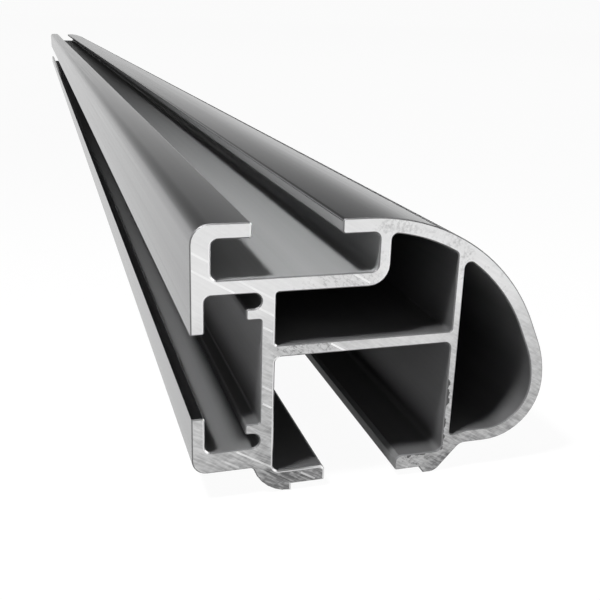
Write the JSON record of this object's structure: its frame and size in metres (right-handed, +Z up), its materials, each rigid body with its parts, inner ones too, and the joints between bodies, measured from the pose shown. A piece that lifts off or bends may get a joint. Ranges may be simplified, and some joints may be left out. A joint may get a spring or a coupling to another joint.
{
  "type": "roof rack crossbar",
  "caption": "Extruded aluminium roof rack crossbar: hollow rounded nose, T-slot on top, channels at the side and underneath, sawn square at both ends.",
  "frame": {"origin": "centre of the bar's length and width, on the plane of the two ridges that it stands on", "axes": "+Y along the bar, +X towards the rounded nose, +Z up through the top slot"},
  "size_m": [0.065, 1.25, 0.0481],
  "materials": {
    "anodised_aluminium": "satin anodised along its length, bare sawn metal on the two end faces"
  },
  "bodies": {
    "root": {"crossbar_extrusion": "anodised_aluminium"}
  },
  "joints": []
}
